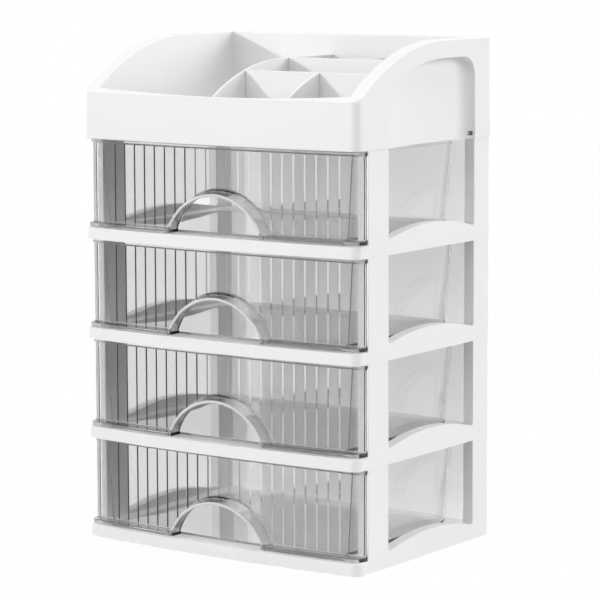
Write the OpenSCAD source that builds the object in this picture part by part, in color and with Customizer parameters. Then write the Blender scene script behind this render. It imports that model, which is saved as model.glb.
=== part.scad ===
// Desktop tower of four clear drawers in stacked white tiers, with an open tray on top.
// Each tier is a shelf, two side walls with a window, and a back panel. Units are millimetres.

/* [Body] */
// Overall width
body_w = 246; // [220:1:280]
// Overall depth, from the middle of the bowed front to the back
body_d = 180; // [165:1:210]
// How far the front bows out in its middle
front_bow = 6; // [3:0.5:10]
// Radius of the two front corners, seen from above
corner_r = 7.5; // [5:0.5:8]
// Radius of the two rear corners, seen from above
rear_corner_r = 2.5; // [1:0.5:6]
// Height of one tier
tier_h = 75; // [66:1:90]

/* [Shelf] */
// Height of the front rail
rail_h = 8.8; // [7.5:0.1:11]
// Thickness of the shelf plate
shelf_t = 2.6; // [2:0.1:4]
// Thickness of the skirt under the shelf
skirt_t = 2.5; // [2:0.1:4]

/* [Side walls] */
// Thickness of a side wall
side_t = 8.4; // [8:0.1:11]
// Depth of the front post, from front to back
front_post_d = 25.5; // [18:0.5:32]
// Depth of the rear post
rear_post_d = 22; // [18:0.5:32]
// Height of the window's sill at its two ends
sill_h = 10.8; // [10:0.1:14]
// Rise of the sill in its middle
sill_rise = 7.6; // [3:0.1:12]
// Radius of the window's lower corners
sill_corner_r = 2.5; // [1:0.1:4]
// Thickness of the back panel
back_t = 3; // [2:0.1:5]

/* [Stacking tongues] */
// Thickness of a tongue on top of a post
tongue_t = 3; // [2:0.1:3.4]
// Length of a tongue, from front to back
tongue_l = 9; // [6:0.5:12]
// Height of a tongue
tongue_h = 5.6; // [4:0.1:6]
// Wall between a post's edge and its tongue
tongue_wall = 3; // [2:0.1:4]
// Clearance around a tongue in its socket
tongue_gap = 0.25; // [0.1:0.05:0.5]
// Height of the window where the tray's rear tongues show
clip_window_h = 3; // [2:0.1:3.6]

/* [Top tray] */
// Height of the tray at its back
tray_h = 74.2; // [66:0.2:90]
// Radius of the curve that the tray's sides fall in
tray_curve_r = 175; // [160:1:200]
// Depth of the flat stretch behind that curve
tray_flat_d = 62; // [50:1:80]
// Distance behind the front where the curve turns into a straight slope
tray_slope_d = 12.5; // [8:0.5:25]
// Fall of that slope, per millimetre forward
tray_slope = 0.66; // [0.3:0.02:0.74]
// Width of the rim on the sides
tray_rim_side = 11; // [10.5:0.5:14]
// Width of the rim at the front
tray_rim_front = 6.5; // [5:0.5:9]
// Thickness of the tray's back wall
tray_rim_back = 3; // [2:0.1:5]
// Thickness of the tray's floor
tray_floor_t = 2.4; // [2:0.1:4]
// Height of the band left above the recess on each side
tray_band_h = 13.4; // [9:0.2:20]
// Thickness of the wall behind the recess
tray_wall_t = 2.2; // [1.6:0.1:3]
// Radius of the recess's rear upper corner
recess_corner_r = 14; // [4:0.5:18]
// Radius of the hollow curve at the recess's rear end, seen from above
recess_end_r = 16; // [10:0.5:24]

/* [Tray dividers] */
// Thickness of a divider
divider_t = 1.8; // [1.2:0.1:3]
// Height of the dividers where they are flat
divider_h = 58; // [40:0.5:62]
// Radius of the curve that their tops fall in, towards the front
divider_curve_r = 168; // [160:1:200]
// Depth of the flat stretch behind that curve
divider_flat_d = 67; // [50:1:80]
// Distance of the long divider from the middle, to the left
long_divider_x = 17.4; // [0:0.2:40]
// Distance of the front short divider from the middle, to the right
front_short_divider_x = 49; // [30:1:70]
// Distance of the rear short divider from the middle, to the right
rear_short_divider_x = 45; // [30:1:70]
// Distance of the front cross divider behind the middle of the front
front_cross_d = 64; // [45:1:75]
// Distance of the rear cross divider behind the middle of the front
rear_cross_d = 118; // [100:1:135]

/* [Drawer] */
// Clearance between a drawer and what it runs on or between
run_gap = 0.3; // [0.2:0.05:0.8]
// Gap between a tub's side and the side wall
tub_side_gap = 3; // [1:0.1:5]
// Gap behind a tub
tub_rear_gap = 13; // [2:0.5:20]
// Thickness of a tub's walls
tub_wall_t = 1.8; // [1.4:0.1:3]
// Thickness of a tub's floor
tub_floor_t = 2; // [1.5:0.1:3]
// Gap between a tub's walls and the top of its tier
tub_top_gap = 2.5; // [2:0.5:12]
// Radius of a tub's rear corners
tub_corner_r = 18; // [8:0.5:24]
// Radius of the fillets where a tub meets its front
tub_fillet_r = 5; // [2:0.5:8]
// Distance of the floor's two runners from the middle
runner_x = 41; // [30:1:60]
// Width of a runner
runner_w = 1.2; // [0.8:0.1:3]

/* [Drawer front] */
// How far a front stands back from the rail, in the middle
front_set = 12.2; // [9:0.2:14]
// How far a front bows out in its middle
panel_bow = 4.2; // [3:0.2:6]
// Thickness of a front
front_t = 2; // [1.6:0.1:3]
// How far the ledge stands back from the rail
ledge_set = 1; // [0.5:0.1:4]
// Thickness of the ledge
ledge_t = 2.8; // [2:0.1:4]
// Gap between the rail and the ledge
ledge_gap = 0.8; // [0.4:0.1:2]
// Gap between a front and the tier above
front_top_gap = 1; // [0.6:0.1:3]
// Inset of a front's ends from the side walls' outer faces
front_end_inset = 0.4; // [0:0.1:2]
// Height and depth of the bead along a front's upper edge
bead = 2; // [1:0.1:3]
// Distance from one flute rib to the next
rib_pitch = 9.5; // [8:0.1:14]
// Width of a flute rib
rib_w = 1.4; // [0.8:0.1:2.4]
// Distance of the outermost ribs from the front's ends, at least
rib_margin = 18; // [12:0.5:30]

/* [Pull] */
// Outer radius of the arched pull
pull_r = 47; // [38:0.5:55]
// Height of the pull's top above its tier's underside
pull_top = 41.5; // [34:0.5:50]
// Thickness of the pull's wall
pull_t = 2.2; // [1.6:0.1:3.5]

/* [Hidden] */
$fn = 96;
tiers = 4;
eps = 0.01;
over = 1;

half_w = body_w / 2;
front_y = -body_d / 2;
rear_y = body_d / 2;

// Bowed lines are arcs across the full width: the tower's front, and the drawer fronts
bow_r = (half_w * half_w + front_bow * front_bow) / (2 * front_bow);
panel_r = (half_w * half_w + panel_bow * panel_bow) / (2 * panel_bow);

// Side walls
inner_x = half_w - side_t;
front_back = front_set + front_t;
post_front_y = front_y + panel_bow + front_back + run_gap;
window_front_y = post_front_y + front_post_d;
window_rear_y = rear_y - rear_post_d;
window_mid_y = (window_front_y + window_rear_y) / 2;
window_half_l = (window_rear_y - window_front_y) / 2;
sill_r = (pow(window_half_l, 2) + pow(sill_rise, 2)) / (2 * sill_rise);
sill_centre_z = sill_h + sill_rise - sill_r;
sill_corner_y = window_half_l - sill_corner_r;
sill_corner_z = sill_centre_z + sqrt(pow(sill_r + sill_corner_r, 2) - pow(sill_corner_y, 2));
sill_touch_y = sill_corner_y * sill_r / (sill_r + sill_corner_r);
back_inner_y = rear_y - back_t;

// Tongues stand in the middle of a post's thickness
tongue_x = inner_x + (side_t - tongue_t) / 2;
front_tongue_y = window_front_y - tongue_wall - tongue_l;
rear_tongue_y = window_rear_y + tongue_wall;

// Top tray
tray_z = tiers * tier_h;
curve_y = rear_y - tray_flat_d;
slope_y = front_y + tray_slope_d;
slope_z = tray_h - tray_curve_r + sqrt(pow(tray_curve_r, 2) - pow(curve_y - slope_y, 2));
tray_inner_x = half_w - tray_rim_side;
tray_rear_y = rear_y - tray_rim_back;
recess_x = tray_inner_x + tray_wall_t;
recess_depth = half_w - recess_x;
recess_blend_y = window_rear_y - (window_rear_y - window_front_y) * 0.31;
recess_blend_l = recess_blend_y - window_front_y;
recess_blend_r = (pow(recess_blend_l, 2) + pow(recess_depth, 2)) / (2 * recess_depth);
recess_end_y = window_rear_y - sqrt(pow(recess_end_r, 2) - pow(recess_end_r - recess_depth, 2));

// Dividers
divider_curve_y = rear_y - divider_flat_d;
front_cross_y = front_y + front_cross_d;
rear_cross_y = front_y + rear_cross_d;
front_cross_h = divider_h - divider_curve_r
    + sqrt(pow(divider_curve_r, 2) - pow(divider_curve_y - front_cross_y, 2));

// Drawers
ledge_z = rail_h + ledge_gap;
front_top_z = tier_h - front_top_gap;
front_half_w = half_w - front_end_inset;
tub_x = inner_x - tub_side_gap;
tub_rear_y = back_inner_y - tub_rear_gap;
tub_z = rail_h + run_gap;
tub_floor_z = tub_z + run_gap;
tub_top_z = tier_h - tub_top_gap;
pull_centre_z = pull_top - pull_r;
pull_inner_r = pull_r - pull_t;
rib_pairs = floor((half_w - rib_margin) / rib_pitch + 0.5);

WHITE = [0.93, 0.93, 0.93];
CLEAR = [0.80, 0.82, 0.83, 0.45];

// ---- outlines seen from above ----

// Full outline of the tower, pulled in by inset: bowed front, straight sides, round corners
module plan(inset = 0) {
    w = half_w - inset;
    r = max(corner_r - inset, 1);
    rear_r = max(rear_corner_r - inset, 0.5);
    arc_r = bow_r - inset;
    arc_y = front_y + bow_r;
    rear = rear_y - inset;
    corner_x = w - r;
    corner_y = arc_y - sqrt(pow(arc_r - r, 2) - pow(corner_x, 2));
    touch_x = corner_x * arc_r / (arc_r - r);
    intersection() {
        translate([0, arc_y]) circle(arc_r, $fn = 720);
        translate([-touch_x, front_y - over]) square([2 * touch_x, rear - front_y + over]);
    }
    translate([-w, corner_y]) square([2 * w, rear - rear_r - corner_y]);
    translate([-w + rear_r, corner_y]) square([2 * (w - rear_r), rear - corner_y]);
    for (side = [-1, 1]) {
        translate([side * corner_x, corner_y]) circle(r);
        translate([side * (w - rear_r), rear - rear_r]) circle(rear_r);
    }
}

// Everything behind a bowed line of radius r that lies set behind the middle of the front
module behind_bow(set, r) {
    intersection() {
        translate([0, front_y + r + set]) circle(r, $fn = 720);
        translate([-body_w, -body_d]) square([2 * body_w, body_d * 1.6]);
    }
}

// Everything behind a drawer front's arc
module behind_panel(set) {
    behind_bow(set, panel_r);
}

// ---- shelf ----

module shelf_plan() {
    intersection() {
        plan();
        union() {
            translate([-body_w, front_y - over]) square([2 * body_w, post_front_y - front_y + over]);
            translate([-inner_x, front_y]) square([2 * inner_x, back_inner_y - front_y]);
        }
    }
}

module shelf_core_plan() {
    intersection() {
        plan(skirt_t);
        union() {
            translate([-body_w, front_y]) square([2 * body_w, post_front_y - skirt_t - front_y]);
            translate([-inner_x + skirt_t, front_y])
                square([2 * (inner_x - skirt_t), back_inner_y - skirt_t - front_y]);
        }
    }
}

module shelf() {
    color(WHITE)
    difference() {
        linear_extrude(rail_h) shelf_plan();
        translate([0, 0, -over]) linear_extrude(rail_h - shelf_t + over) shelf_core_plan();
    }
}

// ---- side walls ----

// Window seen from the side, as [y, z]: straight ends, arched sill, round lower corners
module window_profile() {
    translate([window_mid_y, 0]) difference() {
        union() {
            translate([-sill_touch_y, sill_h]) square([2 * sill_touch_y, tier_h - sill_h + over]);
            translate([-window_half_l, sill_corner_z])
                square([2 * window_half_l, tier_h - sill_corner_z + over]);
            for (side = [-1, 1])
                translate([side * sill_corner_y, sill_corner_z]) circle(sill_corner_r);
        }
        translate([0, sill_centre_z]) circle(sill_r, $fn = 360);
    }
}

// Turns a [y, z] profile into a bar along X, from x_min to x_max
module along_x(x_min, x_max) {
    translate([x_min, 0, 0]) rotate([90, 0, 90]) linear_extrude(x_max - x_min) children();
}

module tongue(y) {
    translate([tongue_x, y, 0]) cube([tongue_t, tongue_l, tongue_h]);
}

module socket(y) {
    translate([tongue_x - tongue_gap, y - tongue_gap, -over])
        cube([tongue_t + 2 * tongue_gap, tongue_l + 2 * tongue_gap, tongue_h + tongue_gap + over]);
}

module right_wall() {
    color(WHITE) {
        difference() {
            linear_extrude(tier_h) intersection() {
                plan();
                translate([inner_x, post_front_y]) square([side_t + over, body_d]);
            }
            along_x(inner_x - over, half_w + over) window_profile();
            socket(front_tongue_y);
            socket(rear_tongue_y);
        }
        translate([0, 0, tier_h - eps]) {
            tongue(front_tongue_y);
            tongue(rear_tongue_y);
        }
    }
}

module left_wall() {
    mirror([1, 0, 0]) right_wall();
}

// ---- back panel ----

module back_panel() {
    color(WHITE)
    translate([-inner_x, back_inner_y, 0]) cube([2 * inner_x, back_t, tier_h]);
}

// ---- top tray ----

// Side view of the tray, as [y, z]: a slope and an arc that rise to a flat top
module tray_profile(inset = 0) {
    intersection() {
        union() {
            translate([curve_y, tray_h - tray_curve_r]) circle(tray_curve_r - inset, $fn = 360);
            translate([curve_y, -over]) square([body_d, tray_h - inset + over]);
            polygon([
                [slope_y, -over],
                [slope_y, slope_z - inset],
                [front_y - over, slope_z - inset - (slope_y - front_y + over) * tray_slope],
                [front_y - over, -over]
            ]);
        }
        translate([-body_d, -over]) square([2 * body_d, tray_h - inset + over]);
    }
}

// Recess in the tray's side, seen from above: it deepens from nothing at the front,
// and curves back out at its rear end
module recess_plan() {
    intersection() {
        translate([recess_x + recess_blend_r, recess_blend_y]) circle(recess_blend_r, $fn = 720);
        translate([recess_x, window_front_y - over]) square([recess_depth + over, recess_blend_l + over]);
    }
    translate([recess_x, recess_blend_y])
        square([recess_depth + over, recess_end_y - recess_blend_y]);
    intersection() {
        translate([recess_x + recess_end_r, recess_end_y]) circle(recess_end_r, $fn = 360);
        translate([recess_x, recess_end_y - over]) square([recess_depth + over, recess_end_r + over]);
    }
}

module recess_profile() {
    top = tray_h - tray_band_h;
    intersection() {
        tray_profile(tray_band_h);
        union() {
            translate([-body_d, -over]) square([window_rear_y + body_d, top - recess_corner_r + over]);
            translate([-body_d, -over])
                square([window_rear_y - recess_corner_r + body_d, top + over]);
            translate([window_rear_y - recess_corner_r, top - recess_corner_r]) circle(recess_corner_r);
        }
    }
}

module tray_recess() {
    intersection() {
        translate([0, 0, -over]) linear_extrude(tray_h) recess_plan();
        along_x(recess_x - over, half_w + 2 * over) recess_profile();
    }
}

// Small window in the rear post, where the tongue's end shows
module clip_window() {
    translate([tongue_x - tongue_gap, recess_end_y, tongue_h - clip_window_h])
        cube([tongue_t + 2 * tongue_gap, rear_tongue_y - recess_end_y + eps, clip_window_h + tongue_gap]);
}

// The tray's inside, seen from above
module tray_bore_plan() {
    intersection() {
        translate([0, front_y + bow_r]) circle(bow_r - tray_rim_front, $fn = 720);
        translate([-tray_inner_x, front_y]) square([2 * tray_inner_x, tray_rear_y - front_y]);
    }
}

module tray() {
    color(WHITE)
    difference() {
        intersection() {
            linear_extrude(tray_h) plan();
            along_x(-body_w, body_w) tray_profile();
        }
        translate([0, 0, tray_floor_t]) linear_extrude(tray_h) tray_bore_plan();
        for (side = [0, 1]) mirror([side, 0, 0]) {
            tray_recess();
            socket(front_tongue_y);
            socket(rear_tongue_y);
            clip_window();
        }
    }
}

// ---- tray dividers ----

// Side view of a lengthwise divider as far back as y_max, as [y, z]
module divider_profile(y_max) {
    curve_end = min(y_max, divider_curve_y);
    intersection() {
        translate([divider_curve_y, divider_h - divider_curve_r])
            circle(divider_curve_r, $fn = 360);
        translate([front_y, tray_floor_t]) square([curve_end - front_y, divider_h]);
    }
    if (y_max > divider_curve_y)
        translate([divider_curve_y, tray_floor_t])
            square([y_max - divider_curve_y, divider_h - tray_floor_t]);
}

// A divider that runs from the front rim back to y_max, at x
module lengthwise_divider(x, y_max) {
    color(WHITE)
    intersection() {
        along_x(x - divider_t / 2, x + divider_t / 2) divider_profile(y_max);
        linear_extrude(tray_h) translate([0, front_y + bow_r])
            circle(bow_r - tray_rim_front, $fn = 720);
    }
}

// The divider between the two cells behind the rear cross divider
module rear_short_divider() {
    start = rear_cross_y + divider_t;
    color(WHITE)
    translate([rear_short_divider_x - divider_t / 2, start, tray_floor_t])
        cube([divider_t, tray_rear_y - start, divider_h - tray_floor_t]);
}

// A divider that runs from the long divider to the right side
module cross_divider(y, height) {
    start = -long_divider_x + divider_t / 2;
    color(WHITE)
    translate([start, y, tray_floor_t])
        cube([tray_inner_x - start, divider_t, height - tray_floor_t]);
}

// ---- drawers ----

// Outline of a tub, from its front's back face to its rear wall
module tub_plan(inset = 0) {
    x = tub_x - inset;
    y = tub_rear_y - inset;
    r = tub_corner_r - inset;
    intersection() {
        behind_panel(front_back);
        union() {
            translate([-x, front_y]) square([2 * x, y - r - front_y]);
            translate([-x + r, front_y]) square([2 * (x - r), y - front_y]);
            for (side = [-1, 1]) translate([side * (x - r), y - r]) circle(r);
        }
    }
}

// Where a drawer front's arc, moved back by set, lies at x
function panel_y(x, set) = front_y + panel_r + set - sqrt(panel_r * panel_r - x * x);

module tub_fillet() {
    x = tub_x - tub_wall_t;
    y = panel_y(x, front_back);
    intersection() {
        behind_panel(front_back);
        difference() {
            translate([x - tub_fillet_r, y - over]) square([tub_fillet_r + eps, tub_fillet_r + over]);
            translate([x - tub_fillet_r, y + tub_fillet_r]) circle(tub_fillet_r);
        }
    }
}

module tub() {
    color(CLEAR) {
        difference() {
            translate([0, 0, tub_floor_z]) linear_extrude(tub_top_z - tub_floor_z) tub_plan();
            translate([0, 0, tub_floor_z + tub_floor_t]) linear_extrude(tier_h)
                union() {
                    tub_plan(tub_wall_t);
                    translate([-tub_x + tub_wall_t, front_y])
                        square([2 * (tub_x - tub_wall_t), body_d / 2]);
                }
        }
        for (side = [0, 1]) mirror([side, 0, 0]) {
            translate([0, 0, tub_floor_z]) linear_extrude(tub_top_z - tub_floor_z) tub_fillet();
            translate([runner_x - runner_w / 2, 0, tub_z]) runner();
        }
    }
}

// Slim rail under the floor, from just behind the front to the rear wall
module runner() {
    start = panel_y(runner_x, front_back) + tub_wall_t;
    translate([0, start, 0])
        cube([runner_w, tub_rear_y - tub_corner_r / 2 - start, tub_floor_z - tub_z + eps]);
}

// A band across the drawer, from an arc of radius r at set back to the front's back face
module front_band(set, r) {
    difference() {
        intersection() {
            behind_bow(set, r);
            translate([-front_half_w, -body_d]) square([2 * front_half_w, body_d]);
        }
        behind_panel(front_back);
    }
}

// The ledge keeps the tower's round corners, just inside its outline
module ledge_plan() {
    difference() {
        intersection() {
            translate([0, ledge_set - front_end_inset]) plan(front_end_inset);
            translate([-body_w, -body_d]) square([2 * body_w, body_d]);
        }
        behind_panel(front_back);
    }
}

// Disc across the drawer, seen from the front, that shapes the pull and its opening
module pull_disc(r) {
    translate([0, 0, pull_centre_z]) rotate([90, 0, 0])
        cylinder(h = 2 * body_d, r = r, center = true, $fn = 180);
}

module rib(x) {
    translate([x, panel_y(x, front_set), ledge_z + ledge_t - eps])
        cylinder(h = front_top_z - bead - ledge_z - ledge_t + 2 * eps, d = rib_w, $fn = 24);
}

module front() {
    color(CLEAR)
    difference() {
        union() {
            translate([0, 0, ledge_z]) linear_extrude(front_top_z - ledge_z)
                front_band(front_set, panel_r);
            translate([0, 0, front_top_z - bead]) linear_extrude(bead)
                front_band(front_set - bead, panel_r);
            translate([0, 0, ledge_z]) linear_extrude(ledge_t) ledge_plan();
            for (k = [0 : rib_pairs - 1]) for (side = [-1, 1])
                rib(side * (k + 0.5) * rib_pitch);
        }
        intersection() {
            pull_disc(pull_r);
            translate([-body_w, -body_d, 0]) cube([2 * body_w, body_d, tier_h]);
        }
    }
}

// Arched hood from the front's face forward to the ledge's edge
module pull() {
    color(CLEAR)
    intersection() {
        difference() {
            pull_disc(pull_r);
            pull_disc(pull_inner_r);
        }
        translate([0, 0, ledge_z]) linear_extrude(tier_h) front_band(ledge_set, bow_r);
    }
}

// ---- assembly ----

module at_tier(n) {
    translate([0, 0, (n - 1) * tier_h]) children();
}

module at_tray() {
    translate([0, 0, tray_z]) children();
}

for (n = [1 : tiers]) {
    at_tier(n) shelf();
    at_tier(n) left_wall();
    at_tier(n) right_wall();
    at_tier(n) back_panel();
    at_tier(n) tub();
    at_tier(n) front();
    at_tier(n) pull();
}
at_tray() tray();  // top_tray
at_tray() lengthwise_divider(-long_divider_x, tray_rear_y);  // long_divider
at_tray() lengthwise_divider(front_short_divider_x, front_cross_y);  // front_short_divider
at_tray() rear_short_divider();
at_tray() cross_divider(front_cross_y, front_cross_h);  // front_cross_divider
at_tray() cross_divider(rear_cross_y, divider_h);  // rear_cross_divider
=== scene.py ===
"""Looks for a desktop tower of clear fluted drawers in white tiers, under a divided tray.

Lengths are in millimetres up to the moment a mesh is made; Blender works in metres.
Tiers and drawers are counted from the bottom. The drawers slide along -Y.
"""

import math

import bmesh
import bpy
from mathutils import Matrix, Vector


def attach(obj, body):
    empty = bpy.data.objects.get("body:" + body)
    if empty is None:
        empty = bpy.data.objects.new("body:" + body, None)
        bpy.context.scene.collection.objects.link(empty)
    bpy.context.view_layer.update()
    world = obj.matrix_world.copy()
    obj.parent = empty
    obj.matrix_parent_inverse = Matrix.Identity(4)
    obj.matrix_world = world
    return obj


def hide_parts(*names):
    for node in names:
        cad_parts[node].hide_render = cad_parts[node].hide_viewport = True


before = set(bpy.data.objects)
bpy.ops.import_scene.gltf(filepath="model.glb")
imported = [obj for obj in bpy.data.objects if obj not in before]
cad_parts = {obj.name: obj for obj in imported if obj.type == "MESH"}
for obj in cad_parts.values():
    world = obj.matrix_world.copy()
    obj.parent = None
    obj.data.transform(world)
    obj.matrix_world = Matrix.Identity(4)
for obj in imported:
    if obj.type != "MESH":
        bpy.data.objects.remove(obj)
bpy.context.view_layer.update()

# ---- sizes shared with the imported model, in millimetres ----

MM = 0.001
TIERS = 4
TIER = 75.0
HALF_W = 123.0
FRONT = -90.0
REAR = 90.0
BOW = 6.0
BOW_R = (HALF_W**2 + BOW**2) / (2 * BOW)
CORNER = 7.5
REAR_CORNER = 2.5

RAIL_H = 8.8
SHELF_T = 2.6
SKIRT_T = 2.5
SIDE_T = 8.4
INNER_X = HALF_W - SIDE_T
BACK_T = 3.0
PANEL_BOW = 4.2
PANEL_SET = 12.2
PANEL_T = 2.0
POST_FRONT = FRONT + PANEL_BOW + PANEL_SET + PANEL_T + 0.3
WINDOW_FRONT = POST_FRONT + 25.5
WINDOW_REAR = REAR - 22.0
SILL = 10.8
SILL_RISE = 7.6
SILL_CORNER = 2.5

TRAY = TIERS * TIER
TRAY_H = 74.2
TRAY_CURVE_R = 175.0
TRAY_CURVE_Y = REAR - 62.0
TRAY_SLOPE_Y = FRONT + 12.5
TRAY_SLOPE = 0.66
TRAY_INNER_X = HALF_W - 11.0
TRAY_FRONT_T = 6.5
TRAY_BACK_T = 3.0
TRAY_FLOOR = 2.4
BAND = 13.4
RECESS_X = TRAY_INNER_X + 2.2
RECESS_FRONT = FRONT + 15.0
RECESS_RAMP = 0.69
RECESS_CORNER = 14.0
RECESS_END_R = 16.0
RIM_R = 1.2

DIVIDER_T = 1.8
DIVIDER_H = 58.0
DIVIDER_R = 168.0
DIVIDER_CURVE_Y = REAR - 67.0
LONG_X = -17.4
FRONT_SHORT_X = 49.0
REAR_SHORT_X = 45.0
FRONT_CROSS_Y = FRONT + 64.0
REAR_CROSS_Y = FRONT + 118.0

TONGUE_X = INNER_X + SIDE_T / 2 + 1.2
TONGUE_T = 2.7
TONGUE_L = 9.0
TONGUE_H = 5.6
TONGUE_WALL = 3.0

# ---- sizes of the dressed pieces alone ----

TIER_ROUND = 0.8
SEAM_ROUND = 0.24
TIER_FLARE = 0.0028
TRAY_FLARE = 0.0035

CLIP_HALF = 1.75
CLIP_AHEAD = 6.0
CLIP_LOW = 2.6
CLIP_PLAY = 0.25

LEDGE_Z = RAIL_H + 0.8
LEDGE_T = 2.8
LEDGE_SET = 1.0
LEDGE_R = 1.0
LEDGE_TOP = LEDGE_Z + LEDGE_T
FRONT_TOP = TIER - 1.0
PANEL_END = HALF_W - 0.4
FLUTES = 11
FLUTE_PITCH = 9.6
FLUTE_W = 1.6
FLUTE_H = 0.68
FLUTE_CREST = 0.08
END_BEAD_X = 119.8
END_BEAD_W = 3.6
END_BEAD_H = 1.5
LIP_OUT = 1.8

PULL_R = 47.0
PULL_T = 2.2
PULL_Z = 41.5 - PULL_R
PULL_SET = 1.2
FOOT_X = 42.5
FOOT_HALF = 1.9
FOOT_SET = 1.6

TUB_X = INNER_X - 3.0
TUB_REAR = REAR - BACK_T - 13.0
TUB_FLOOR = RAIL_H + 0.6
TUB_FLOOR_T = 1.6
TUB_TOP = TIER - 2.5
TUB_RIM_IN = 0.4
TUB_FOOT_IN = 3.6
TUB_WALL = 1.0
TUB_FOOT_WALL = 0.9
TUB_FOOT_R = 6.0
TUB_INNER_R = 5.0
TUB_CORNER = 24.0
TUB_EDGE_Y = FRONT + 19.5

# How far a cutting tool reaches past what it cuts, and the angle from which an edge is rounded.
PAST = 9.0
SHARP = math.radians(35)


# ---- outlines ----

def arc(cx, cy, radius, start, end, steps):
    """Points on an arc; the angles are in degrees."""
    points = []
    for i in range(steps + 1):
        a = math.radians(start + (end - start) * i / steps)
        points.append((cx + radius * math.cos(a), cy + radius * math.sin(a)))
    return points


def line(a, b, steps):
    """Points from a up to, but without, b."""
    return [
        (a[0] + (b[0] - a[0]) * i / steps, a[1] + (b[1] - a[1]) * i / steps)
        for i in range(steps)
    ]


def ring(half_w, inset, rear, front_r, rear_r):
    """Outline seen from above: bowed front, straight sides, four round corners.

    Every ring has the same number of points, in step with the others.
    """
    arc_r = BOW_R - inset
    arc_y = FRONT + BOW_R
    cx = half_w - front_r
    cy = arc_y - math.sqrt((arc_r - front_r) ** 2 - cx**2)
    turn = math.degrees(math.atan2(cy - arc_y, cx))
    ry = rear - rear_r
    rx = half_w - rear_r
    right = arc(cx, cy, front_r, turn, 0, 8)[:-1]
    right += line((half_w, cy), (half_w, ry), 40)
    right += arc(rx, ry, rear_r, 0, 90, 5)[:-1]
    back = line((rx, rear), (-rx, rear), 14)
    left = arc(-rx, ry, rear_r, 90, 180, 5)[:-1]
    left += line((-half_w, ry), (-half_w, cy), 40)
    left += arc(-cx, cy, front_r, 180, 180 - turn, 8)[:-1]
    front = arc(0, arc_y, arc_r, 180 - turn - 360, turn, 28)[:-1]
    return front + right + back + left


def bow_y(x, set_back=0.0, sag=BOW):
    """Where a bowed line lies at x, set back from the front's middle."""
    radius = (HALF_W**2 + sag**2) / (2 * sag)
    return FRONT + set_back + radius - math.sqrt(radius**2 - x**2)


# ---- meshes ----

def mesh_object(name, points, faces):
    mesh = bpy.data.meshes.new(name)
    mesh.from_pydata([Vector(p) * MM for p in points], [], faces)
    mesh.update()
    obj = bpy.data.objects.new(name, mesh)
    bpy.context.scene.collection.objects.link(obj)
    return obj


def tidy_normals(obj):
    work = bmesh.new()
    work.from_mesh(obj.data)
    bmesh.ops.recalc_face_normals(work, faces=work.faces)
    work.to_mesh(obj.data)
    work.free()


def loft(name, rows):
    """A closed solid through rows of points; each row is a closed outline, all as long."""
    n = len(rows[0])
    last = (len(rows) - 1) * n
    faces = [tuple(range(n - 1, -1, -1)), tuple(range(last, last + n))]
    for r in range(0, last, n):
        faces += [(r + i, r + (i + 1) % n, r + n + (i + 1) % n, r + n + i) for i in range(n)]
    obj = mesh_object(name, [point for row in rows for point in row], faces)
    tidy_normals(obj)
    return obj


def extrude(name, outline, low, high, place):
    """A closed solid between two copies of an outline; place(u, v, w) gives a point."""
    return loft(name, [[place(u, v, w) for u, v in outline] for w in (low, high)])


def upright(name, outline, low, high):
    """An outline in x and y, extruded along Z."""
    return extrude(name, outline, low, high, lambda u, v, w: (u, v, w))


def across(name, outline, low, high):
    """An outline in y and z, extruded along X."""
    return extrude(name, outline, low, high, lambda u, v, w: (w, u, v))


def forwards(name, outline, low, high):
    """An outline in x and z, extruded along Y."""
    return extrude(name, outline, low, high, lambda u, v, w: (u, w, v))


def block(name, low, high):
    outline = [(low[0], low[1]), (high[0], low[1]), (high[0], high[1]), (low[0], high[1])]
    return upright(name, outline, low[2], high[2])


def apply_modifiers(obj):
    """Puts the modifiers' result into the mesh."""
    bpy.context.view_layer.update()
    shaped = obj.evaluated_get(bpy.context.evaluated_depsgraph_get())
    mesh = bpy.data.meshes.new_from_object(shaped)
    obj.modifiers.clear()
    obj.data = mesh
    return obj


def combine(target, tools, operation="DIFFERENCE"):
    """Cuts the tools from the target, or joins them to it, and deletes them."""
    for tool in tools:
        step = target.modifiers.new("step", "BOOLEAN")
        step.operation = operation
        step.solver = "EXACT"
        step.object = tool
        apply_modifiers(target)
        bpy.data.objects.remove(tool)
    return target


def weld(obj, distance=0.002):
    work = bmesh.new()
    work.from_mesh(obj.data)
    bmesh.ops.remove_doubles(work, verts=work.verts, dist=distance * MM)
    bmesh.ops.dissolve_degenerate(work, edges=work.edges, dist=distance * MM)
    work.to_mesh(obj.data)
    work.free()
    return obj


def soften(obj, width, segments=2, width_at=None):
    """Rounds the sharp edges, all by the width or each by width_at(its middle)."""
    work = bmesh.new()
    work.from_mesh(obj.data)
    weight = work.edges.layers.float.new("bevel_weight_edge")
    for edge in work.edges:
        if len(edge.link_faces) == 2 and edge.calc_face_angle() > SHARP:
            middle = (edge.verts[0].co + edge.verts[1].co) / (2 * MM)
            edge[weight] = width_at(middle) / width if width_at else 1.0
    work.to_mesh(obj.data)
    work.free()
    bevel = obj.modifiers.new("round", "BEVEL")
    bevel.width = width * MM
    bevel.segments = segments
    bevel.limit_method = "WEIGHT"
    bevel.miter_outer = "MITER_ARC"
    return apply_modifiers(obj)


def smooth(obj, angle=32.0):
    """Smooth shading, with edges above the angle kept crisp and large flat faces kept flat."""
    mesh = obj.data
    mesh.polygons.foreach_set("use_smooth", [True] * len(mesh.polygons))
    mesh.set_sharp_from_angle(angle=math.radians(angle))
    mesh.update()
    step = obj.modifiers.new("weighted", "WEIGHTED_NORMAL")
    step.keep_sharp = True
    return apply_modifiers(obj)


def copy_at(obj, name, dz):
    """A copy of a piece with its mesh raised by dz."""
    made = bpy.data.objects.new(name, obj.data.copy())
    made.data.name = name
    made.data.transform(Matrix.Translation((0, 0, dz * MM)))
    bpy.context.scene.collection.objects.link(made)
    return made


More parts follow.
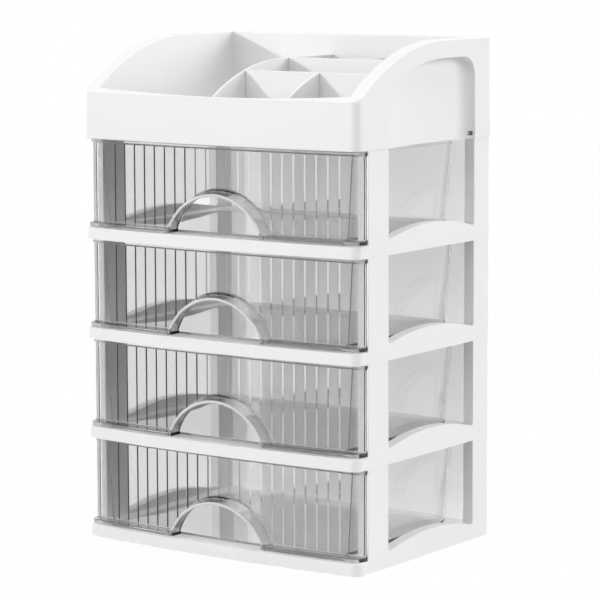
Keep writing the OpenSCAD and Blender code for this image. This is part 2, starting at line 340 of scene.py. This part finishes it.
def part_of(obj, name, blocks):
    """What of obj lies inside the blocks, each given by its lowest and highest corner."""
    keep = block("keep", *blocks[0])
    combine(keep, [block("more", *corners) for corners in blocks[1:]], "UNION")
    return combine(copy_at(obj, name, 0), [keep], "INTERSECT")


# ---- shader maths ----

class Wire:
    """A shader socket for Python expressions; node() adds any other node."""

    def __init__(self, tree, socket=None):
        self.tree = tree
        self.socket = socket

    def node(self, kind, settings=None, inputs=None, output=0):
        made = self.tree.nodes.new(kind)
        for name, value in (settings or {}).items():
            setattr(made, name, value)
        for name, value in (inputs or {}).items():
            if isinstance(value, Wire):
                self.tree.links.new(value.socket, made.inputs[name])
            else:
                made.inputs[name].default_value = value
        return Wire(self.tree, made.outputs[output])

    def maths(self, operation, a, b):
        return self.node("ShaderNodeMath", {"operation": operation}, {0: a, 1: b})

    def __add__(self, other):
        return self.maths("ADD", self, other)

    def __sub__(self, other):
        return self.maths("SUBTRACT", self, other)

    def __rsub__(self, other):
        return self.maths("SUBTRACT", other, self)

    def __mul__(self, other):
        return self.maths("MULTIPLY", self, other)

    def unsigned(self):
        return self.maths("ABSOLUTE", self, 0.0)

    def limited(self):
        return self.node("ShaderNodeClamp", inputs={"Value": self})

    __radd__ = __add__
    __rmul__ = __mul__


def grey(value):
    return (value, value, value, 1.0)


def noise(wire, scale, detail=2.0):
    place = wire.node("ShaderNodeTexCoord", output="Object")
    return wire.node(
        "ShaderNodeTexNoise", inputs={"Vector": place, "Scale": scale, "Detail": detail},
        output=0,
    )


def blend_greys(wire, factor, low, high):
    return wire.node(
        "ShaderNodeMix", {"data_type": "RGBA"}, {0: factor, 6: low, 7: high}, output=2
    )


def along(wire, axis):
    """Where a point of the surface lies along X, Y or Z, in metres."""
    place = wire.node("ShaderNodeTexCoord", output="Object")
    return wire.node("ShaderNodeSeparateXYZ", inputs={0: place}, output=axis)


def height_in_tier(wire):
    """Height above the foot of the point's own tier, in metres."""
    return wire.maths("MODULO", along(wire, "Z"), TIER * MM)


def fade(length, start, width):
    """Nothing up to start, then rising to one within a width, or downwards if it is negative.

    The length is in metres, start and width in millimetres.
    """
    return ((length - start * MM) * (1 / (width * MM))).limited()


def new_material(name):
    made = bpy.data.materials.new(name)
    made.use_nodes = True
    made.node_tree.nodes.clear()
    return made, Wire(made.node_tree)


def set_surface(wire, shader):
    out = wire.tree.nodes.new("ShaderNodeOutputMaterial")
    wire.tree.links.new(shader.socket, out.inputs["Surface"])


# ---- materials ----

def white_plastic():
    """Satin moulded plastic with a fine grain."""
    made, wire = new_material("white_plastic")
    cloud = noise(wire, 22.0)
    grain = noise(wire, 2600.0, 1.0)
    bump = wire.node(
        "ShaderNodeBump", inputs={"Strength": 0.04, "Distance": 0.00005, "Height": grain}
    )
    surface = wire.node("ShaderNodeBsdfPrincipled", inputs={
        "Base Color": blend_greys(wire, cloud, grey(0.86), grey(0.88)),
        "Roughness": 0.36 + cloud * 0.08,
        "Normal": bump,
    })
    set_surface(wire, surface)
    return made


def set_clear_surface(wire, colour, painted_light_share):
    """Polished clear plastic with the faint waves of a moulded sheet, mixed by the share with a
    light matt diffuse that paints light on edges and rims.
    """
    wave = noise(wire, 60.0, 1.0)
    bump = wire.node(
        "ShaderNodeBump", inputs={"Strength": 0.05, "Distance": 0.0001, "Height": wave}
    )
    clear = wire.node("ShaderNodeBsdfPrincipled", inputs={
        "Base Color": colour,
        "Roughness": 0.01 + wave * 0.01,
        "Transmission Weight": 1.0,
        "IOR": 1.57,
        "Normal": bump,
    })
    # Painted light: a light matt diffuse, mixed in by the share.
    painted_light_matt = wire.node("ShaderNodeBsdfDiffuse", inputs={"Color": grey(0.85)})
    set_surface(wire, wire.node("ShaderNodeMixShader", inputs={0: painted_light_share, 1: clear, 2: painted_light_matt}))


def fluted_field(wire):
    """One over the fluted field of a drawer's front, nothing over its ledge and its ends."""
    across_front = fade(along(wire, "X").unsigned(), END_BEAD_X - 4.8, -2.5)
    return across_front * fade(height_in_tier(wire), LEDGE_TOP - 0.2, 1.25)


def painted_pull_rim_highlight(wire):
    """Painted highlight on the pull: the share of light matt plastic on its round front rim, a
    little on its sheet.
    """
    x = along(wire, "X")
    depth = along(wire, "Y") - x * x * (BOW / MM / HALF_W**2)
    front = FRONT + PULL_SET
    rim = fade(depth, front + 0.8, -0.25)
    sheet = fade(depth, front + 8.0, -1.0)
    return (rim * 0.85 + sheet * 0.15) * fade(height_in_tier(wire), LEDGE_TOP + 1.1, 1.0)


def painted_light_tub_edge(wire):
    """One on the tub's thin front edges, where a light matt share is mixed in: painted light that
    keeps these edges from showing dark.
    """
    normal = wire.node("ShaderNodeNewGeometry", output="Normal")
    turned = wire.node("ShaderNodeSeparateXYZ", inputs={0: normal}, output="Y")
    facing_front = ((-0.8 - turned) * 10.0).limited()
    return fade(along(wire, "Y"), TUB_EDGE_Y, -0.5) * facing_front


def front_plastic():
    """The clear fronts: a slightly smoky fluted field and a painted highlight on the pull's rim.
    """
    made, wire = new_material("clear_front")
    colour = blend_greys(wire, fluted_field(wire), grey(0.97), grey(0.75))
    # Painted highlight on the pull's rim, through the matt share.
    set_clear_surface(wire, colour, painted_pull_rim_highlight(wire) * 0.75)
    return made


def tub_plastic():
    """The clear tubs, with painted light on their thin front edges."""
    made, wire = new_material("clear_tub")
    # Painted light on the tub's thin front edges, through the matt share.
    set_clear_surface(wire, grey(0.96), painted_light_tub_edge(wire) * 0.3)
    return made


def dress(obj, material, body, slot, *nodes):
    """Gives a finished piece its material and its body, and hides the nodes it stands for. The
    slot is not used.
    """
    obj.data.materials.clear()
    obj.data.materials.append(material)
    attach(obj, body)
    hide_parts(*nodes)
    return obj


# ---- tiers ----

def window_outline():
    """The side window from the side, as (y, z): arched sill, round lower corners, open top."""
    middle = (WINDOW_FRONT + WINDOW_REAR) / 2
    half = (WINDOW_REAR - WINDOW_FRONT) / 2
    sill_r = (half**2 + SILL_RISE**2) / (2 * SILL_RISE)
    sill_z = SILL + SILL_RISE - sill_r
    corner_y = half - SILL_CORNER
    corner_z = sill_z + math.sqrt((sill_r + SILL_CORNER) ** 2 - corner_y**2)
    touch = math.degrees(math.atan2(corner_z - sill_z, corner_y))
    right = arc(corner_y, corner_z, SILL_CORNER, touch - 180, 0, 6)
    sill = arc(0, sill_z, sill_r, 180 - touch, touch, 32)[1:-1]
    left = [(-y, z) for y, z in reversed(right)]
    outline = left + sill + right + [(half, TIER + PAST), (-half, TIER + PAST)]
    return [(middle + y, z) for y, z in outline]


def tongues(side):
    """Blocks for the two stacking tongues on one side of a tier."""
    x = side * TONGUE_X
    return [
        block(
            "tongue", (x - TONGUE_T / 2, y, TIER - 1),
            (x + TONGUE_T / 2, y + TONGUE_L, TIER + TONGUE_H),
        )
        for y in (WINDOW_FRONT - TONGUE_WALL - TONGUE_L, WINDOW_REAR + TONGUE_WALL)
    ]


def tier_shell():
    """One whole tier, the lowest: shelf, side walls and back, whose outside flares at the foot."""
    shell = upright("tier", ring(HALF_W, 0, REAR, CORNER, REAR_CORNER), 0, TIER)
    past_x = HALF_W + PAST
    past_top = TIER + PAST
    skirt_x = INNER_X - SKIRT_T
    skirt_front = POST_FRONT - SKIRT_T
    skirt_rear = REAR - BACK_T - SKIRT_T
    combine(shell, [
        block("inside", (-INNER_X, FRONT - PAST, RAIL_H), (INNER_X, REAR - BACK_T, past_top)),
        block("ahead", (-past_x, FRONT - PAST, RAIL_H), (past_x, POST_FRONT, past_top)),
        across("windows", window_outline(), -past_x, past_x),
        block("under", (-skirt_x, skirt_front, -PAST), (skirt_x, skirt_rear, RAIL_H - SHELF_T)),
    ])
    weld(shell)

    def round_at(place):
        at_seam = min(place.z, TIER - place.z) < 0.01
        return SEAM_ROUND if at_seam else TIER_ROUND

    soften(shell, TIER_ROUND, width_at=round_at)
    for vertex in shell.data.vertices:
        flare = 1 + TIER_FLARE * (0.5 - vertex.co.z / (TIER * MM))
        if abs(vertex.co.x) > (INNER_X + 5) * MM:
            vertex.co.x *= flare
        if vertex.co.y > (REAR - 1) * MM:
            vertex.co.y *= flare
    return shell


def build_tiers(material):
    shell = tier_shell()
    far = 200.0
    back = REAR - BACK_T
    above = RAIL_H + 1
    # The back panel keeps the rounds of the inner corners above the shelf.
    regions = {
        "left_wall": [((-far, POST_FRONT, -far), (-INNER_X, far, far))],
        "right_wall": [((INNER_X, POST_FRONT, -far), (far, far, far))],
        "back_panel": [
            ((-INNER_X, back, -far), (INNER_X, far, far)),
            ((-INNER_X, back - 0.5, above), (INNER_X, back + 1, far)),
        ],
        "shelf": [
            ((-far, -far, -far), (far, POST_FRONT, far)),
            ((-INNER_X, POST_FRONT - PAST, -far), (INNER_X, back, above)),
        ],
    }
    parts = {name: part_of(shell, name, blocks) for name, blocks in regions.items()}
    bpy.data.objects.remove(shell)
    combine(parts["left_wall"], tongues(-1), "UNION")
    combine(parts["right_wall"], tongues(1), "UNION")
    for tier in range(1, TIERS + 1):
        for name, part in parts.items():
            node = f"tier_{tier}_{name}"
            piece = smooth(copy_at(part, node + "_moulding", (tier - 1) * TIER))
            dress(piece, material, "tower", "white_shell", node)
    for part in parts.values():
        bpy.data.objects.remove(part)


# ---- tray ----

def tray_height(y):
    """Height of the tray's rim above its base, at y."""
    if y >= TRAY_CURVE_Y:
        return TRAY_H
    if y >= TRAY_SLOPE_Y:
        return TRAY_H - TRAY_CURVE_R + math.sqrt(TRAY_CURVE_R**2 - (TRAY_CURVE_Y - y) ** 2)
    return tray_height(TRAY_SLOPE_Y) - (TRAY_SLOPE_Y - y) * TRAY_SLOPE


def tray_body():
    """The tray's wall as a grid: outside, over the rounded rim and down to the floor."""
    outer = ring(HALF_W, 0, REAR, CORNER, REAR_CORNER)
    inner = ring(TRAY_INNER_X, TRAY_FRONT_T, REAR - TRAY_BACK_T, 1.6, 1.2)
    slant = 2.0
    foot_rear = REAR - TRAY_BACK_T - slant
    foot = ring(TRAY_INNER_X - slant, TRAY_FRONT_T + slant, foot_rear, 1.2, 0.9)
    wide = 1 + TRAY_FLARE
    rows = [
        [(x * flare, y * flare, z) for x, y in outer]
        for flare, z in ((1.0, 0), (wide, 0.5), (wide, 8), (1.002, 20), (1.0, 34))
    ]

    def rim_row(a, inner_edge):
        """A row over the round of one edge of the rim; a goes from 0 at its side to 90 on top."""
        inward = RIM_R * (1 - math.cos(math.radians(a)))
        drop = RIM_R * (1 - math.sin(math.radians(a)))
        row = []
        for start, end in zip(outer, inner):
            width = math.dist(start, end)
            share = (width - inward if inner_edge else inward) / width
            x, y = (s + (e - s) * share for s, e in zip(start, end))
            row.append((x, y, tray_height(y) - drop))
        return row

    turns = (0, 22.5, 45, 67.5, 90)
    rows += [rim_row(a, False) for a in turns]
    rows += [rim_row(a, True) for a in reversed(turns)]
    rows.append([(x, y, TRAY_FLOOR + slant) for x, y in inner])
    rows.append([(x, y, TRAY_FLOOR) for x, y in foot])
    return loft("tray", [[(x, y, TRAY + z) for x, y, z in row] for row in rows])


def recess_tool(side):
    """The shallow pocket in a side of the tray: it deepens towards the rear."""
    depth = HALF_W - RECESS_X
    length = (WINDOW_REAR - WINDOW_FRONT) * RECESS_RAMP
    blend_y = WINDOW_FRONT + length
    blend_r = (length**2 + depth**2) / (2 * depth)
    start = math.degrees(math.asin(length / blend_r))
    end_y = WINDOW_REAR - math.sqrt(RECESS_END_R**2 - (RECESS_END_R - depth) ** 2)
    plan = arc(RECESS_X + blend_r, blend_y, blend_r, 180 + start, 180, 24)
    plan += arc(RECESS_X + RECESS_END_R, end_y, RECESS_END_R, 180, 90, 18)
    plan += [(RECESS_X + RECESS_END_R, WINDOW_FRONT)]
    top = TRAY_H - BAND
    sweep = TRAY_CURVE_R - BAND
    low = math.degrees(math.acos((TRAY_CURVE_Y - RECESS_FRONT) / sweep))
    profile = arc(TRAY_CURVE_Y, TRAY_H - TRAY_CURVE_R, sweep, 180 - low, 90, 30)
    profile += arc(WINDOW_REAR - RECESS_CORNER, top - RECESS_CORNER, RECESS_CORNER, 90, 0, 10)
    profile += [(WINDOW_REAR, -3), (profile[0][0], -3)]
    tool = upright("recess", [(side * x, y) for x, y in plan], TRAY - 4, TRAY + TRAY_H)
    xs = sorted((side * (RECESS_X - PAST), side * (HALF_W + PAST)))
    limit = across("limit", [(y, TRAY + z) for y, z in profile], *xs)
    return combine(tool, [limit], "INTERSECT")


def build_tray(material):
    body = tray_body()
    combine(body, [recess_tool(-1), recess_tool(1)])
    for x in (-TONGUE_X, TONGUE_X):
        combine(body, [block(
            "clip", (x - CLIP_HALF, WINDOW_REAR - CLIP_AHEAD, TRAY + CLIP_LOW),
            (x + CLIP_HALF, WINDOW_REAR + TONGUE_WALL + TONGUE_L, TRAY + TONGUE_H + CLIP_PLAY),
        )])
    weld(body)
    body.name = "top_tray_moulding"
    smooth(body)
    dress(body, material, "tower", "white_shell", "top_tray")


def divider_height(y):
    """Height of the dividers above the tray's base, at y."""
    ahead = max(DIVIDER_CURVE_Y - y, 0.0)
    return DIVIDER_H - DIVIDER_R + math.sqrt(DIVIDER_R**2 - ahead**2)


def build_dividers(material):
    floor = TRAY + TRAY_FLOOR
    back = REAR - TRAY_BACK_T
    front_x = FRONT_SHORT_X
    lengthwise = {
        "long_divider": (LONG_X, bow_y(LONG_X, TRAY_FRONT_T), back),
        "front_short_divider": (front_x, bow_y(front_x, TRAY_FRONT_T), FRONT_CROSS_Y),
        "rear_short_divider": (REAR_SHORT_X, REAR_CROSS_Y + DIVIDER_T, back),
    }
    plates = {}
    for node, (x, start, end) in lengthwise.items():
        ys = [start + (end - start) * i / 60 for i in range(61)]
        outline = [(y, TRAY + divider_height(y)) for y in ys] + [(end, floor), (start, floor)]
        name = node + "_plate"
        plates[node] = across(name, outline, x - DIVIDER_T / 2, x + DIVIDER_T / 2)
    crosswise = {"front_cross_divider": FRONT_CROSS_Y, "rear_cross_divider": REAR_CROSS_Y}
    for node, y in crosswise.items():
        top = TRAY + divider_height(y)
        low = LONG_X + DIVIDER_T / 2
        outline = [(low, floor), (TRAY_INNER_X, floor), (TRAY_INNER_X, top), (low, top)]
        plates[node] = forwards(node + "_plate", outline, y, y + DIVIDER_T)
    for node, plate in plates.items():
        soften(plate, 0.45, 3)
        dress(smooth(plate), material, "tower", "white_divider", node)


# ---- drawers ----

def flute_bump(x):
    """How far a flute or an end bead lifts the panel's face at x."""
    if abs(x) > END_BEAD_X - END_BEAD_W / 2:
        off = min(abs(abs(x) - END_BEAD_X) / (END_BEAD_W / 2), 1.0)
        return END_BEAD_H * math.sqrt(1 - off**2)
    k = math.floor(abs(x) / FLUTE_PITCH)
    if k >= FLUTES:
        return 0.0
    off = abs(abs(x) - (k + 0.5) * FLUTE_PITCH) / (FLUTE_W / 2)
    return FLUTE_H * (1 - max(off, FLUTE_CREST)) if off < 1 else 0.0


def front_stations():
    """Places along the front where its section is drawn: dense at the flutes and the ends."""
    xs = {0.0, PANEL_END, PANEL_END - 0.25}
    for k in range(FLUTES):
        centre = (k + 0.5) * FLUTE_PITCH
        xs.update(centre + step * FLUTE_W / 2 for step in (-1, -FLUTE_CREST, FLUTE_CREST, 1))
        xs.add((k + 1) * FLUTE_PITCH)
    for step in range(-8, 9):
        xs.add(END_BEAD_X + END_BEAD_W / 2 * math.sin(math.radians(step * 11.25)))
    xs = {round(x, 4) for x in xs}
    return sorted(xs | {-x for x in xs})


def front_section(x):
    """The front's section at x, as (y, z): under the ledge, over it, up the face, over the lip."""
    end_x = HALF_W - CORNER
    end_r = PANEL_END - end_x
    over = max(0.0, abs(x) - end_x)
    ledge = bow_y(x, LEDGE_SET) + end_r - math.sqrt(max(end_r**2 - over**2, 0.0))
    face = bow_y(x, PANEL_SET, PANEL_BOW)
    fluted = face - flute_bump(x)
    back = face + PANEL_T
    r = LEDGE_R
    edge = min(ledge, face - 2.4) + r
    nose = arc(-edge, LEDGE_Z + r, r, -60, 0, 3)
    nose += arc(-edge, LEDGE_TOP - r, r, 0, 90, 4)
    points = [(back, LEDGE_Z), (face - 1.2, LEDGE_Z), (edge, LEDGE_Z)]
    points += [(-y, z) for y, z in nose]
    points += [(face - 1.0, LEDGE_TOP), (face - 0.35, LEDGE_TOP + 0.15)]
    points += [(face - 0.05 - flute_bump(x) * 0.6, LEDGE_TOP + 0.6), (fluted, LEDGE_TOP + 1.2)]
    points += [(fluted, FRONT_TOP - 8.0), (fluted, FRONT_TOP - 3.0), (face - 1.2, FRONT_TOP - 2.1)]
    points += [(face - LIP_OUT, FRONT_TOP - 1.6), (face - LIP_OUT, FRONT_TOP - 0.4)]
    points += [(face - LIP_OUT + 0.4, FRONT_TOP), (back - 0.3, FRONT_TOP)]
    points += [(back, FRONT_TOP - 0.3)]
    return points


def front_panel():
    """The bowed, fluted panel with its ledge, swept from end to end."""
    return loft("panel", [[(x, y, z) for y, z in front_section(x)] for x in front_stations()])


def pull_hood():
    """The arched pull: a curved sheet swept over the arch, with a round front edge."""
    half = PULL_T / 2
    edge = [(half - y, z) for z, y in arc(0, 0, half, 0, 180, 9)]
    foot = [
        (PANEL_T - 0.4, -half), (PANEL_T - 0.4, half + 1.0), (-0.2, half + 0.9),
        (-0.8, half + 0.35), (-1.8, half),
    ]
    parts = ((edge, PULL_Z - 1.4, PULL_SET, BOW), (foot, PULL_Z + 1.2, PANEL_SET, PANEL_BOW))
    low = LEDGE_Z + 0.2

    def row(share):
        """The section at a share of the way along the arch, from the left foot to the right."""
        points = []
        for part, centre, set_back, sag in parts:
            for depth, out in part:
                radius = PULL_R - half + out
                end = math.asin((low - centre) / radius)
                a = math.pi - end + (2 * end - math.pi) * share
                x = radius * math.cos(a)
                y = bow_y(x, set_back, sag) + depth
                points.append((x, y, centre + radius * math.sin(a)))
        return points

    return loft("hood", [row(s / 64) for s in range(65)])


def pull_foot(side):
    """The block that joins a foot of the pull to the panel."""
    ahead = bow_y(FOOT_X, FOOT_SET)
    behind = bow_y(FOOT_X, PANEL_SET, PANEL_BOW) + 0.6
    x = side * FOOT_X
    return block(
        "foot", (x - FOOT_HALF, ahead, LEDGE_Z + 0.05),
        (x + FOOT_HALF, behind, LEDGE_TOP - 0.4),
    )


def drawer_front():
    """The clear front in one piece: panel, ledge, pull and the finger gap under it."""
    panel = front_panel()
    opening = arc(0, PULL_Z, PULL_R - PULL_T / 2, 0, 360, 128)[:-1]
    combine(panel, [forwards("opening", opening, FRONT - PAST, POST_FRONT + PAST)])
    combine(panel, [pull_hood(), pull_foot(-1), pull_foot(1)], "UNION")
    weld(panel, 0.004)
    return smooth(panel, 26)


def tub_ring(inset, corner, z):
    """One level of the tub, so far in from its widest: sides that run out ahead of the front."""
    half_w = TUB_X - inset
    rear = TUB_REAR - inset
    right = [(half_w, FRONT - 2 * PAST)] + line((half_w, FRONT), (half_w, rear - corner), 6)
    right += arc(half_w - corner, rear - corner, corner, 0, 90, 10)
    left = [(-x, y) for x, y in reversed(right)]
    return [(x, y, z) for x, y in right + left]


def tub_foot(inset, corner, floor, radius, angles):
    """The levels of a rounded foot, from 90 degrees on the floor to 0 on the wall."""
    levels = []
    for a in angles:
        inward = radius * (1 - math.cos(math.radians(a)))
        up = radius * (1 - math.sin(math.radians(a)))
        levels.append((inset + inward, corner - inward / 2, floor + up))
    return levels


def drawer_tub():
    """The clear tub: drafted walls, a curved foot inside and out, and a thick rim."""
    angles = (90, 67.5, 45, 22.5, 0)
    inner_in = TUB_FOOT_IN + TUB_FOOT_WALL
    inner_floor = TUB_FLOOR + TUB_FLOOR_T
    levels = tub_foot(TUB_FOOT_IN, TUB_CORNER, TUB_FLOOR, TUB_FOOT_R, angles)
    for inward, drop in ((0, 0.3), (0.2, 0), (TUB_WALL - 0.2, 0), (TUB_WALL, 0.3)):
        levels.append((TUB_RIM_IN + inward, TUB_CORNER - inward, TUB_TOP - drop))
    inner_corner = TUB_CORNER - TUB_WALL
    levels += tub_foot(inner_in, inner_corner, inner_floor, TUB_INNER_R, reversed(angles))
    tub = loft("tub", [tub_ring(*level) for level in levels])
    xs = [HALF_W * (i / 24 - 1) for i in range(49)]
    back = [(x, bow_y(x, PANEL_SET + PANEL_T + 0.02, PANEL_BOW)) for x in xs]
    ahead = [(-HALF_W, FRONT - 4 * PAST)] + back + [(HALF_W, FRONT - 4 * PAST)]
    combine(tub, [upright("ahead", ahead, -PAST, TIER + PAST)])
    weld(tub, 0.004)
    return smooth(tub, 38)


def build_drawers(front_material, tub_material):
    front = drawer_front()
    tub = drawer_tub()
    for n in range(1, TIERS + 1):
        body = f"drawer_{n}"
        piece = copy_at(front, body + "_fluted_front", (n - 1) * TIER)
        dress(piece, front_material, body, "clear_front", body + "_front", body + "_pull")
        piece = copy_at(tub, body + "_clear_tub", (n - 1) * TIER)
        dress(piece, tub_material, body, "clear_tub", body + "_tub")
    for part in (front, tub):
        bpy.data.objects.remove(part)


# ---- studio ----

def backdrop_share(wire):
    """One for rays that see the plain backdrop: straight, in a mirror or through clear plastic."""
    share = 0.0
    for name in ("Is Camera Ray", "Is Glossy Ray", "Is Transmission Ray"):
        share = wire.node("ShaderNodeLightPath", output=name) + share
    bounced = wire.node("ShaderNodeLightPath", output="Diffuse Depth")
    return share.limited() * (1.0 - bounced.limited())


def build_floor():
    """The pale floor, in metres, a hair below the tower's foot so that their faces don't meet."""
    size = 4.0
    gap = 0.0002
    mesh = bpy.data.meshes.new("floor")
    corners = [(-size, -size, 0), (size, -size, 0), (size, size, 0), (-size, size, 0)]
    mesh.from_pydata(corners, [], [(0, 1, 2, 3)])
    floor = bpy.data.objects.new("floor", mesh)
    bpy.context.scene.collection.objects.link(floor)
    floor.location.z = -gap
    made, wire = new_material("floor_paper")
    seen = backdrop_share(wire)
    paper_grey = blend_greys(wire, seen, grey(0.6), grey(0.95))
    paper = wire.node("ShaderNodeBsdfDiffuse", inputs={"Color": paper_grey})
    glow = wire.node("ShaderNodeEmission", inputs={"Color": grey(1.0), "Strength": 1.0})
    shader = wire.node("ShaderNodeMixShader", inputs={0: seen * 0.94, 1: paper, 2: glow})
    set_surface(wire, shader)
    mesh.materials.append(made)


def build_world():
    world = bpy.data.worlds.new("studio")
    world.use_nodes = True
    world.node_tree.nodes.clear()
    bpy.context.scene.world = world
    wire = Wire(world.node_tree)
    ambient = wire.node("ShaderNodeBackground", inputs={"Color": grey(1.0), "Strength": 0.39})
    white = wire.node("ShaderNodeBackground", inputs={"Color": grey(1.0), "Strength": 1.0})
    seen = backdrop_share(wire)
    mixed = wire.node("ShaderNodeMixShader", inputs={0: seen, 1: ambient, 2: white})
    out = world.node_tree.nodes.new("ShaderNodeOutputWorld")
    world.node_tree.links.new(mixed.socket, out.inputs["Surface"])


def far_lamp(name, towards, spread, strength):
    """A distant studio lamp; towards is the way to it, spread its width in degrees."""
    light = bpy.data.lights.new(name, "SUN")
    light.angle = math.radians(spread)
    light.energy = strength
    made = bpy.data.objects.new(name, light)
    made.rotation_euler = Vector(towards).to_track_quat("Z", "Y").to_euler()
    made.visible_transmission = False
    bpy.context.scene.collection.objects.link(made)
    return made


def named_pieces(*names):
    return [
        obj for obj in bpy.data.objects
        if obj.type == "MESH" and any(name in obj.name for name in names)
    ]


def collection_of(name, pieces):
    made = bpy.data.collections.new(name)
    for piece in pieces:
        made.objects.link(piece)
    return made


def let_light_through(lamps):
    """The clear pieces don't stop the light of these lamps."""
    clear = named_pieces("_fluted_front", "_clear_tub")
    pieces = [obj for obj in bpy.data.objects if obj.type == "MESH" and obj not in clear]
    solid = collection_of("solid_pieces", pieces)
    for lamp in lamps:
        lamp.light_linking.blocker_collection = solid


def light_inside(lamp, name):
    """A soft fill that reaches only the pieces with this name, deep inside the tiers."""
    linking = lamp.light_linking
    linking.receiver_collection = collection_of(lamp.name + "_lit", named_pieces(name))
    linking.blocker_collection = collection_of(lamp.name + "_blockers", named_pieces("floor"))


def build_lamps():
    """A small key lamp that draws the shadows, wide soft lamps, and fills inside the tiers."""
    far_lamp("key_lamp", (-0.592, -0.768, 0.242), 3, 1.0)
    let_light_through((
        far_lamp("front_lamp", (-0.2, -0.98, 0.06), 30, 0.62),
        far_lamp("side_lamp", (0.8, 0.5, 0.3), 30, 1.5),
        far_lamp("top_lamp", (0.1, -0.1, 1.0), 50, 1.3),
    ))
    above = (0.0, 0.0, 1.0)
    in_front = (0.0, -1.0, 0.0)
    light_inside(far_lamp("shelf_lamp", above, 40, 0.45), "_shelf")
    light_inside(far_lamp("back_lamp", in_front, 40, 2.3), "_back_panel")
    light_inside(far_lamp("low_shelf_lamp", above, 40, 0.5), "tier_1_shelf")
    light_inside(far_lamp("low_back_lamp", in_front, 40, 1.3), "tier_1_back_panel")


def build_camera():
    """The camera stands ahead and to the right, a little above the tray, and looks down."""
    image_px = 600
    focal_px = 2745.3
    place = (1.1856, -1.6483, 0.4501)
    aside, down, roll = (math.radians(a) for a in (35.415, 7.611, -0.16))
    camera = bpy.data.cameras.new("camera")
    camera.sensor_width = 36.0
    camera.lens = focal_px / image_px * camera.sensor_width
    camera.clip_end = 50
    made = bpy.data.objects.new("camera", camera)
    turn = (
        Matrix.Rotation(aside, 4, "Z")
        @ Matrix.Rotation(math.pi / 2 - down, 4, "X")
        @ Matrix.Rotation(roll, 4, "Z")
    )
    made.matrix_world = Matrix.Translation(place) @ turn
    bpy.context.scene.collection.objects.link(made)
    bpy.context.scene.camera = made


white = white_plastic()
build_tiers(white)
build_tray(white)
build_dividers(white)
build_drawers(front_plastic(), tub_plastic())
build_floor()
build_world()
build_lamps()
build_camera()
bpy.context.scene.view_settings.view_transform = "Standard"
